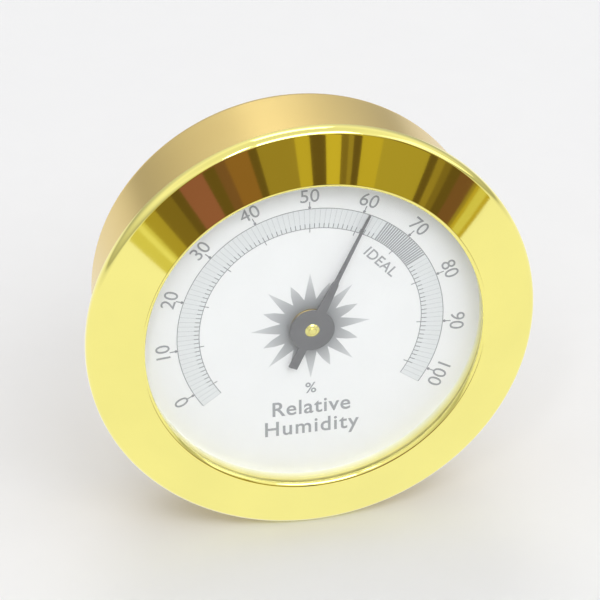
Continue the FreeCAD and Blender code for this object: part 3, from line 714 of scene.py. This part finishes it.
class HYGROMETER_OT_spacer(bpy.types.Operator):
    """Bright ring between the dial and the glass, and the split ring behind the dial"""

    bl_idname = "hygrometer.spacer"
    bl_label = "Spacer"

    def execute(self, context):
        radius, low, high = reach("spacer_ring"), back("spacer_ring"), front("spacer_ring")
        opening_by_dial, opening_by_glass, edge = 18.9 * MM, 19.0 * MM, 0.04 * MM
        outline = [
            (opening_by_dial, low, edge), (radius, low, edge),
            (radius, high, edge), (opening_by_glass, high, edge),
        ]
        # The ring's finish carries a painted reflection of the white dial.
        gilt = bright_turned_gilt()
        show(lathe(outline), "spacer", gilt, "housing", ["spacer_ring"], even=True)
        dress("retaining_ring", bare_steel("spring_steel", (0.36, 0.37, 0.40), 0.3))
        return {"FINISHED"}


class HYGROMETER_OT_dial(bpy.types.Operator):
    """White enamelled dial with a rolled edge"""

    bl_idname = "hygrometer.dial"
    bl_label = "Dial"

    def execute(self, context):
        radius, low, high = reach("dial_plate"), back("dial_plate"), front("dial_plate")
        hole = 1.5 * MM
        outline = [
            (hole, low, 0), (radius, low, 0.06 * MM), (radius, high, 0.12 * MM), (hole, high, 0),
        ]
        disc, enamel = lathe(outline), dial_enamel()
        show(disc, "dial_face", enamel, "housing", ["dial_plate"], even=True)
        return {"FINISHED"}


def scale_angle(dial, percent):
    return dial.first_angle + (dial.last_angle - dial.first_angle) * percent / 100


MARK_INK = 1.2  # thickness of a mark and of a dot, in layers of ink
DOT_INK = 1.4


class HYGROMETER_OT_scale(bpy.types.Operator):
    """Printed scale: two arcs with a tinted band, a line for each percent and marks at each ten"""

    bl_idname = "hygrometer.scale"
    bl_label = "Scale"

    def execute(self, context):
        dial = context.scene.hygrometer_dial
        ink = chosen("ink")
        face = front("dial_plate")
        overrun = 3
        start, finish = (scale_angle(dial, percent) for percent in (-overrun, 100 + overrun))
        band = bmesh.new()
        add_arc(band, dial.inner_arc, dial.outer_arc, start, finish, face, dial.ink / 2)
        tint = printing_ink("band_tint", (0.80, 0.82, 0.84), weak=1.03)
        show(band, "scale_band", tint, "housing")
        fine = bmesh.new()
        middle = (dial.inner_arc + dial.outer_arc) / 2
        fine_line = (0.05 * MM, dial.outer_arc - dial.inner_arc, dial.ink)
        for percent in range(-overrun, 100 + overrun + 1):
            place = clockwise(scale_angle(dial, percent)) @ Matrix.Translation((0, middle, face))
            add_box(fine, place, fine_line)
        fine_ink = printing_ink("fine_ink", (0.56, 0.58, 0.60))
        show(fine, "percent_lines", fine_ink, "housing")
        marks = bmesh.new()
        half = 0.04 * MM
        for radius in (dial.inner_arc, dial.outer_arc):
            add_arc(marks, radius - half, radius + half, start, finish, face, dial.ink)
        for percent in range(0, 101):
            turn = clockwise(scale_angle(dial, percent))
            if percent % 10 == 0:
                self.add_ten(marks, dial, turn, face)
            place = turn @ Matrix.Translation((0, dial.inner_arc + 0.3 * MM, face))
            add_box(marks, place, (0.09 * MM, 0.6 * MM, MARK_INK * dial.ink))
        show(marks, "scale_marks", printing_ink("scale_ink", ink), "housing")
        return {"FINISHED"}

    def add_ten(self, marks, dial, turn, face):
        """The marks at a ten: a stroke and a dot outside the arcs, and a stroke inside them."""
        mark_ink, dot_ink, dot_radius = MARK_INK * dial.ink, DOT_INK * dial.ink, 0.16 * MM
        outside = turn @ Matrix.Translation((0, dial.outer_arc + 0.45 * MM, face))
        add_box(marks, outside, (0.11 * MM, 0.9 * MM, mark_ink))
        dot = turn @ Matrix.Translation((0, dial.outer_arc + 0.2 * MM, face + dot_ink / 2))
        bmesh.ops.create_cone(
            marks, cap_ends=True, segments=20, radius1=dot_radius, radius2=dot_radius,
            depth=dot_ink, matrix=dot,
        )
        inside = turn @ Matrix.Translation((0, dial.inner_arc - 0.25 * MM, face))
        add_box(marks, inside, (0.09 * MM, 0.5 * MM, mark_ink))


class HYGROMETER_OT_ideal_range(bpy.types.Operator):
    """Hatched range between the arcs, with its word beneath"""

    bl_idname = "hygrometer.ideal_range"
    bl_label = "Ideal range"

    def execute(self, context):
        dial = context.scene.hygrometer_dial
        face = front("dial_plate")
        zone = bmesh.new()
        middle = (dial.inner_arc + dial.outer_arc) / 2
        line = (0.17 * MM, dial.outer_arc - dial.inner_arc, 1.4 * dial.ink)
        per_percent = 2
        for step in range(dial.ideal_from * per_percent, dial.ideal_to * per_percent + 1):
            turn = clockwise(scale_angle(dial, step / per_percent))
            add_box(zone, turn @ Matrix.Translation((0, middle, face)), line)
        centre = scale_angle(dial, (dial.ideal_from + dial.ideal_to) / 2)
        place = clockwise(centre) @ Matrix.Translation((0, 10.6 * MM, face))
        add_lettering(zone, "IDEAL", 1.2 * MM, place, spacing=1.05, weight=0.01)
        ideal_ink = printing_ink("ideal_ink", (0.33, 0.34, 0.36))
        show(zone, "ideal_range", ideal_ink, "housing")
        return {"FINISHED"}


class HYGROMETER_OT_numerals(bpy.types.Operator):
    """Numerals from 0 to 100, each upright along its own radius"""

    bl_idname = "hygrometer.numerals"
    bl_label = "Numerals"

    def execute(self, context):
        dial = context.scene.hygrometer_dial
        numerals = bmesh.new()
        for percent in range(0, 101, 10):
            turn = clockwise(scale_angle(dial, percent))
            place = turn @ Matrix.Translation((0, dial.numerals, front("dial_plate")))
            add_lettering(numerals, str(percent), dial.numeral_height, place)
        grey = printing_ink("numeral_ink", (0.30, 0.31, 0.33))
        show(numerals, "numerals", grey, "housing")
        return {"FINISHED"}


class HYGROMETER_OT_sun(bpy.types.Operator):
    """Printed sun around the pointer's axis: sixteen rays, long and short in turn"""

    bl_idname = "hygrometer.sun"
    bl_label = "Sun"

    def execute(self, context):
        rays, valley, flank, long_ray, short_ray = 16, 3.4 * MM, 4.55 * MM, 6.65 * MM, 5.7 * MM
        face = front("dial_plate")
        sun = bmesh.new()
        steps = 4 * rays
        ring = bmesh.ops.create_circle(sun, cap_ends=True, segments=steps, radius=valley)["verts"]
        for vert in ring:
            step = round(math.atan2(vert.co.x, vert.co.y) / FULL_TURN * steps) % steps
            reach_out = {0: long_ray, 4: short_ray, 2: valley, 6: valley}.get(step % 8, flank)
            vert.co *= reach_out / valley
            vert.co.z = face
        raise_faces(sun, sun.faces[:], context.scene.hygrometer_dial.ink)
        # The sun's ink carries painted shade from the pointer's disc at its middle.
        show(sun, "sun_rays", sun_ink(), "housing")
        return {"FINISHED"}


class HYGROMETER_OT_lettering(bpy.types.Operator):
    """Percent sign and two plain words below the pointer's axis"""

    bl_idname = "hygrometer.lettering"
    bl_label = "Lettering"

    def execute(self, context):
        face = front("dial_plate")
        words = bmesh.new()
        lines = [
            ("%", 1.3, -8.0, 1.0), ("Relative", 1.8, -10.4, 1.08), ("Humidity", 1.8, -12.9, 1.12)
        ]
        for text, height, below, spacing in lines:
            place = Matrix.Translation((0, below * MM, face))
            add_lettering(words, text, height * MM, place, spacing=spacing, weight=0.012)
        grey = printing_ink("word_ink", (0.34, 0.35, 0.37))
        show(words, "dial_words", grey, "housing")
        return {"FINISHED"}


class HYGROMETER_OT_pointer(bpy.types.Operator):
    """Stamped pointer: round middle, stepped blade and blunt tail, with softened edges"""

    bl_idname = "hygrometer.pointer"
    bl_label = "Pointer"

    def execute(self, context):
        size = context.scene.hygrometer_pointer
        low, high = back("pointer"), front("pointer")
        half_root, half_shoulder, half_needle, half_tip, half_tail = (
            width * MM for width in (0.575, 0.40, 0.25, 0.11, 0.50)
        )
        blade = [
            (half_shoulder, size.shoulder), (half_needle, size.shoulder + half_shoulder),
            (half_tip, size.length),
        ]
        root_angle = math.asin(half_root / size.disc)
        tail_angle = math.pi - math.asin(half_tail / size.disc)
        shape = bmesh.new()
        root = shape.verts.new((half_root, size.disc * math.cos(root_angle), low))
        last = part_turn(shape, [root], tail_angle - root_angle, steps=40)
        foot = only(bmesh.types.BMVert, last)[0]
        points = [shape.verts.new((x, y, low)) for x, y in blade]
        for start, end in zip([root] + points, points):
            shape.edges.new((start, end))
        corner = shape.verts.new((half_tail, -size.tail, low))
        shape.edges.new((foot, corner))
        half = shape.verts[:] + shape.edges[:]
        mirrored = bmesh.ops.mirror(shape, geom=half, axis="X", merge_dist=0)["geom"]
        others = only(bmesh.types.BMVert, mirrored)
        for end in (points[-1], corner):
            place = Vector((-end.co.x, end.co.y, low))
            shape.edges.new((end, min(others, key=lambda vert: (vert.co - place).length)))
        filled = bmesh.ops.contextual_create(shape, geom=shape.edges[:])["faces"]
        top = raise_faces(shape, filled, high - low)
        middle = (low + high) / 2
        rim = [edge for face in top for edge in face.edges if edge.verts[0].co.z > middle]
        soften(shape, rim, 0.05 * MM)
        grey = pointer_enamel()
        show(
            shape, "pointer_blade", grey, "pointer_assembly", ["pointer"],
            turn=size.reading_angle, even=True,
        )
        return {"FINISHED"}


class HYGROMETER_OT_hub(bpy.types.Operator):
    """Brass hub riveted over the pointer, and the arbor it is pressed on"""

    bl_idname = "hygrometer.hub"
    bl_label = "Hub and arbor"

    def execute(self, context):
        brass, gold = turned_brass(), polished_gilt("polished_hub")
        low, high = back("pointer_hub"), front("pointer_hub")
        under, over = back("pointer"), front("pointer")
        collar, barrel, rivet, bore = (radius * MM for radius in (1.1, 0.6, 0.8, 0.45))
        hub = [
            (bore, low, 0), (collar, low, 0.05 * MM), (collar, under, 0.05 * MM),
            (barrel, under, 0), (barrel, over, 0), (rivet, over, 0),
            (barrel, high, 0.05 * MM), (bore, high, 0.03 * MM),
        ]
        turned = lathe(hub, SMALL_STEPS)
        show(turned, "pointer_boss", gold, "pointer_assembly", ["pointer_hub"], even=True)
        tip, tail = front("arbor"), back("arbor")
        journal_back = back("front_bush") - 0.05 * MM
        pivot_front = front("adjuster_stub") + 0.1 * MM
        pivot, shaft, journal = (radius * MM for radius in (0.46, 0.75, 0.6))
        arbor = [
            (0, tail, 0), (pivot, tail, 0.06 * MM), (pivot, pivot_front, 0),
            (shaft, pivot_front, 0.05 * MM), (shaft, journal_back, 0.05 * MM),
            (journal, journal_back, 0), (journal, low, 0.03 * MM), (bore, low, 0),
            (bore, tip, 0.16 * MM), (0, tip, 0),
        ]
        turned = lathe(arbor, SMALL_STEPS)
        show(turned, "arbor_spindle", gold, "pointer_assembly", ["arbor"], even=True)
        dress("coil_collet", brass)
        return {"FINISHED"}


class HYGROMETER_OT_bush(bpy.types.Operator):
    """Flanged brass bush at the dial's centre"""

    bl_idname = "hygrometer.bush"
    bl_label = "Bush"

    def execute(self, context):
        low, high = back("front_bush"), front("front_bush")
        face = front("dial_plate")
        bore, barrel, flange, rivet = (radius * MM for radius in (0.64, 1.5, 2.2, 1.9))
        plate_back = back("movement_plate")
        outline = [
            (bore, low, 0), (rivet, low, 0.08 * MM), (rivet, plate_back, 0),
            (barrel, plate_back, 0), (barrel, face, 0), (flange, face, 0),
            (flange, high, 0.1 * MM), (bore, high, 0.05 * MM),
        ]
        brass = turned_brass("bush_brass", roughness=0.16)
        turned = lathe(outline, SMALL_STEPS)
        show(turned, "bush", brass, "housing", ["front_bush"], even=True)
        return {"FINISHED"}


class HYGROMETER_OT_case(bpy.types.Operator):
    """Drawn can with a pressed dish, air slots and the adjuster's hole in its back"""

    bl_idname = "hygrometer.case"
    bl_label = "Case"

    def execute(self, context):
        size = context.scene.hygrometer_case
        outer, rim, end = reach("case_back"), front("case_back"), back("case_back")
        inner, inner_end = outer - size.wall, end + size.wall
        floor_radius = size.dish - size.dish_slope
        floor = end + size.dish_depth
        shape = bmesh.new()
        for radius in (floor_radius, size.opening):
            bmesh.ops.create_circle(
                shape, segments=FINE_STEPS, radius=radius, matrix=Matrix.Translation((0, 0, floor))
            )
        for index in range(size.vents):
            self.add_slot(shape, size, floor, FULL_TURN * (index + 0.5) / size.vents)
        bmesh.ops.triangle_fill(shape, edges=shape.edges[:], use_beauty=True, normal=(0, 0, 1))
        raise_faces(shape, shape.faces[:], size.wall)
        walls = [
            face for face in shape.faces
            if all(at_radius(vert, floor_radius) for vert in face.verts)
        ]
        bmesh.ops.delete(shape, geom=walls, context="FACES_ONLY")
        outline = [
            (floor_radius, floor), (size.dish, end), (outer, end), (outer, rim), (inner, rim),
            (inner, inner_end), (size.dish, inner_end), (floor_radius, floor + size.wall),
        ]
        corners = [shape.verts.new((radius, 0, height)) for radius, height in outline]
        sides = [shape.edges.new(pair) for pair in zip(corners, corners[1:])]
        full_turn(shape, corners + sides, FINE_STEPS)
        bmesh.ops.remove_doubles(shape, verts=shape.verts, dist=SLACK)
        bmesh.ops.recalc_face_normals(shape, faces=shape.faces)
        round_ring(shape, outer, end, size.corner, segments=8)
        round_ring(shape, inner, inner_end, size.corner - size.wall, segments=4)
        for radius, height, amount in (
            (size.dish, end, 0.2), (floor_radius, floor, 0.2), (outer, rim, 0.08),
            (size.opening, floor, 0.1),
        ):
            round_ring(shape, radius, height, amount * MM, segments=3)
        brass = drawn_brass()
        show(shape, "case_shell", brass, "housing", ["case_back"], even=True)
        return {"FINISHED"}

    @staticmethod
    def add_slot(shape, size, height, turn):
        """The outline of one air slot: a circle of an even count, parted along its middle."""
        segments = 32
        half_step = Matrix.Rotation(math.pi / segments, 4, "Z")
        ring = bmesh.ops.create_circle(
            shape, segments=segments, radius=size.vent_width / 2, matrix=half_step
        )["verts"]
        for vert in ring:
            vert.co.x += size.vent_finish if vert.co.x > 0 else size.vent_start
            vert.co.z = height
        bmesh.ops.rotate(shape, verts=ring, cent=(0, 0, 0), matrix=Matrix.Rotation(turn, 3, "Z"))


class HYGROMETER_OT_adjuster(bpy.types.Operator):
    """Slotted adjuster in the back, and the finishes of its arm, clip and washer"""

    bl_idname = "hygrometer.adjuster"
    bl_label = "Adjuster"

    def execute(self, context):
        dress("adjuster_stub", turned_brass("adjuster_brass", roughness=0.22))
        dress("adjuster_arm", brushed_sheet())
        spring = bare_steel("clip_steel", (0.40, 0.41, 0.44), 0.28)
        dress("coil_clip", spring)
        dress("friction_washer", spring)
        dress("humidity_coil", coil_paper())
        return {"FINISHED"}


class HYGROMETER_OT_movement(bpy.types.Operator):
    """Finishes of the plate, pillars, bridge, screws and dial feet, seen through the air slots"""

    bl_idname = "hygrometer.movement"
    bl_label = "Movement"

    def execute(self, context):
        sheet = brushed_sheet()
        dress("movement_plate", sheet)
        dress("rear_bridge", sheet)
        post = turned_brass("pillar_brass", roughness=0.24)
        dress("pillars", post)
        dress("dial_feet", post)
        dress("bridge_screws", bare_steel("screw_steel", (0.50, 0.51, 0.53), 0.22))
        return {"FINISHED"}


# ---------------------------------------------------------------- stage

TONES = {
    "straw": (0.85, 0.81, 0.42),
    "lemon": (0.69, 0.63, 0.22),
    "yellow": (0.60, 0.47, 0.063),
    "gold": (0.53, 0.41, 0.055),
    "amber": (0.42, 0.33, 0.06),
    "olive": (0.32, 0.235, 0.045),
    "moss": (0.205, 0.142, 0.028),
    "dark": (0.125, 0.080, 0.018),
    "rose": (0.285, 0.104, 0.105),
    "umber": (0.264, 0.126, 0.041),
    "bark": (0.18, 0.083, 0.046),
}
# Hangings on the screen that the polished cone reflects: each tone, and the azimuth in
# degrees where it ends.
SCREEN_START = -20.4
HANGINGS = [
    ("lemon", -19.0), ("straw", -18.4), ("lemon", -18.0), ("amber", -16.2), ("moss", -13.6),
    ("dark", -12.2), ("rose", -8.4), ("dark", -6.4), ("bark", -4.6), ("umber", -0.7),
    ("dark", 0.8), ("olive", 7.3), ("gold", 9.9), ("dark", 12.7), ("yellow", 15.4),
    ("moss", 16.7), ("olive", 17.6), ("dark", 19.0), ("gold", 22.5), ("amber", 30.3),
    ("dark", 31.6), ("olive", 32.8), ("moss", 33.9), ("dark", 35.4), ("bark", 37.6),
    ("olive", 38.1), ("gold", 38.6), ("lemon", 39.8), ("gold", 40.4),
]

# Brightness of the surroundings in reflections, from straight down (0) to straight up (1).
REFLECTED_SKY = [
    (0.001, 0.95), (0.42, 0.95), (0.49, 0.80), (0.52, 0.45),
    (0.62, 0.62), (0.80, 1.0), (0.999, 0.8),
]
REFLECTED_STRENGTH = 1.06


class HYGROMETER_OT_stage(bpy.types.Operator):
    """Pale floor, soft lamps, the reflected screen, the surroundings and the camera"""

    bl_idname = "hygrometer.stage"
    bl_label = "Stage"

    def execute(self, context):
        self.add_floor()
        self.add_screen(context.scene.hygrometer_studio.screen)
        self.add_lamps()
        self.set_world(context.scene)
        self.add_camera(context.scene)
        context.scene.view_settings.view_transform = "Standard"
        return {"FINISHED"}

    @staticmethod
    def add_staged(shape, name, finishes):
        staged = new_object(shape, name, finishes)
        return staged

    def add_floor(self):
        shape = bmesh.new()
        ground = Matrix.Translation((0, 0, CAD_LOW[2] - 0.02 * MM))
        bmesh.ops.create_grid(shape, x_segments=1, y_segments=1, size=4.0, matrix=ground)
        finish, group = new_finish(
            "floor_paper", fine_speckle, (500.0, 0.7, 0.05), bump=0.02, depth=0.05 * MM
        )
        blend_colours(finish, group.outputs["Mask"], (0.808, 0.808, 0.808), (0.814, 0.814, 0.814))
        floor = self.add_staged(shape, "floor", [finish])
        floor.visible_glossy = False

    def add_screen(self, radius):
        """A curved screen in front of the dial, seen only in reflections."""
        low, high = -0.5 * radius, 0.43 * radius
        finishes = []
        black = (0, 0, 0, 1)
        for tone, colour in TONES.items():
            glow = bpy.data.materials.new(f"screen_{tone}")
            glow.use_nodes = True
            shader = glow.node_tree.nodes["Principled BSDF"]
            shader.inputs["Base Color"].default_value = black
            shader.inputs["Roughness"].default_value = 1.0
            shader.inputs["Emission Color"].default_value = (*colour, 1)
            shader.inputs["Emission Strength"].default_value = 1.0
            finishes.append(glow)
        order = list(TONES)
        shape = bmesh.new()
        start = math.radians(SCREEN_START)
        for tone, end in HANGINGS:
            end = math.radians(end)
            turn = Matrix.Rotation(start, 3, "Z")
            ends = [shape.verts.new(turn @ Vector((0, -radius, height))) for height in (low, high)]
            before = len(shape.faces)
            side = [*ends, shape.edges.new(ends)]
            part_turn(shape, side, end - start, steps=4, axis=(0, 0, 1))
            shape.faces.ensure_lookup_table()
            for face in shape.faces[before:]:
                face.material_index = order.index(tone)
            start = end
        screen = self.add_staged(shape, "reflected_screen", finishes)
        for kind in ("camera", "diffuse", "transmission", "volume_scatter", "shadow"):
            setattr(screen, f"visible_{kind}", False)

    @staticmethod
    def add_lamps():
        # Name, place, width and height, and watts.
        lamps = [
            ("softbox", (0.12, -0.55, 0.57), (0.46, 0.30), 1.55),
            ("fill", (0.60, -0.30, 0.35), (0.40, 0.40), 0.4),
            ("top", (0.05, 0.45, 0.60), (0.35, 0.35), 0.9),
            ("rim_spot", (-0.20, -0.52, 0.56), (0.06, 0.20), 0.5),
        ]
        for name, place, size, power in lamps:
            light = bpy.data.lights.new(name, "AREA")
            light.shape = "RECTANGLE"
            light.size, light.size_y = size
            light.energy = power
            lamp = bpy.data.objects.new(name, light)
            lamp.location = place
            lamp.rotation_euler = (-Vector(place)).to_track_quat("-Z", "Y").to_euler()
            bpy.context.scene.collection.objects.link(lamp)

    @staticmethod
    def set_world(scene):
        """Even pale surroundings, a little darker near the horizon in reflections."""
        world = bpy.data.worlds.new("studio")
        scene.world = world
        world.use_nodes = True
        tree = world.node_tree
        sky = tree.nodes["Background"]
        sky.inputs["Color"].default_value = (0.76, 0.76, 0.77, 1)
        height = tree.nodes.new("ShaderNodeMapRange")
        height.inputs["From Min"].default_value = -1.0
        tree.links.new(coordinates(tree, "Generated")["Z"], height.inputs["Value"])
        ramp = tree.nodes.new("ShaderNodeValToRGB")
        for position, value in REFLECTED_SKY:
            stop = ramp.color_ramp.elements.new(position)
            stop.color = (value, value, value, 1)
        for extra in (-1, 0):
            ramp.color_ramp.elements.remove(ramp.color_ramp.elements[extra])
        tree.links.new(height.outputs["Result"], ramp.inputs["Fac"])
        seen = tree.nodes.new("ShaderNodeBackground")
        tree.links.new(ramp.outputs["Color"], seen.inputs["Color"])
        seen.inputs["Strength"].default_value = REFLECTED_STRENGTH
        choose_shader(tree, "Is Glossy Ray", sky, seen, "World Output")

    @staticmethod
    def add_camera(scene):
        studio = scene.hygrometer_studio
        target = (Vector(CAD_LOW) + Vector(CAD_HIGH)) / 2
        away = Vector((
            math.cos(studio.elevation) * math.sin(studio.azimuth),
            -math.cos(studio.elevation) * math.cos(studio.azimuth),
            math.sin(studio.elevation),
        ))
        lens = bpy.data.cameras.new("camera")
        lens.lens = studio.lens
        lens.clip_start = 0.01
        camera = bpy.data.objects.new("camera", lens)
        camera.location = target + studio.distance * away
        turn = away.to_track_quat("Z", "Y").to_matrix() @ Euler((0, 0, -studio.roll)).to_matrix()
        camera.rotation_euler = turn.to_euler()
        scene.collection.objects.link(camera)
        scene.camera = camera


# ---------------------------------------------------------------- add-on

PIECES = (
    HYGROMETER_OT_bezel, HYGROMETER_OT_window, HYGROMETER_OT_spacer, HYGROMETER_OT_dial,
    HYGROMETER_OT_scale, HYGROMETER_OT_ideal_range, HYGROMETER_OT_numerals, HYGROMETER_OT_sun,
    HYGROMETER_OT_lettering, HYGROMETER_OT_pointer, HYGROMETER_OT_hub, HYGROMETER_OT_bush,
    HYGROMETER_OT_case, HYGROMETER_OT_adjuster, HYGROMETER_OT_movement, HYGROMETER_OT_stage,
)
SETTINGS = {
    "hygrometer_bezel": BezelSettings,
    "hygrometer_dial": DialSettings,
    "hygrometer_pointer": PointerSettings,
    "hygrometer_case": CaseSettings,
    "hygrometer_finishes": FinishSettings,
    "hygrometer_studio": StudioSettings,
}


class HYGROMETER_PT_sidebar(bpy.types.Panel):
    """Settings and a button for each piece"""

    bl_label = "Dial hygrometer"
    bl_idname = "HYGROMETER_PT_sidebar"
    bl_space_type = "VIEW_3D"
    bl_region_type = "UI"
    bl_category = "Hygrometer"

    def draw(self, context):
        for operator in PIECES:
            self.layout.operator(operator.bl_idname)
        for name, settings in SETTINGS.items():
            box = self.layout.box()
            for key in settings.__annotations__:
                box.prop(getattr(context.scene, name), key)


register_classes, unregister_classes = bpy.utils.register_classes_factory(
    (*SETTINGS.values(), *PIECES, HYGROMETER_PT_sidebar)
)


def register():
    register_classes()
    for name, settings in SETTINGS.items():
        setattr(bpy.types.Scene, name, PointerProperty(type=settings))


def unregister():
    for name in SETTINGS:
        delattr(bpy.types.Scene, name)
    unregister_classes()


def main():
    register()
    for operator in PIECES:
        group, name = operator.bl_idname.split(".")
        getattr(getattr(bpy.ops, group), name)()


if __name__ == "__main__":
    main()
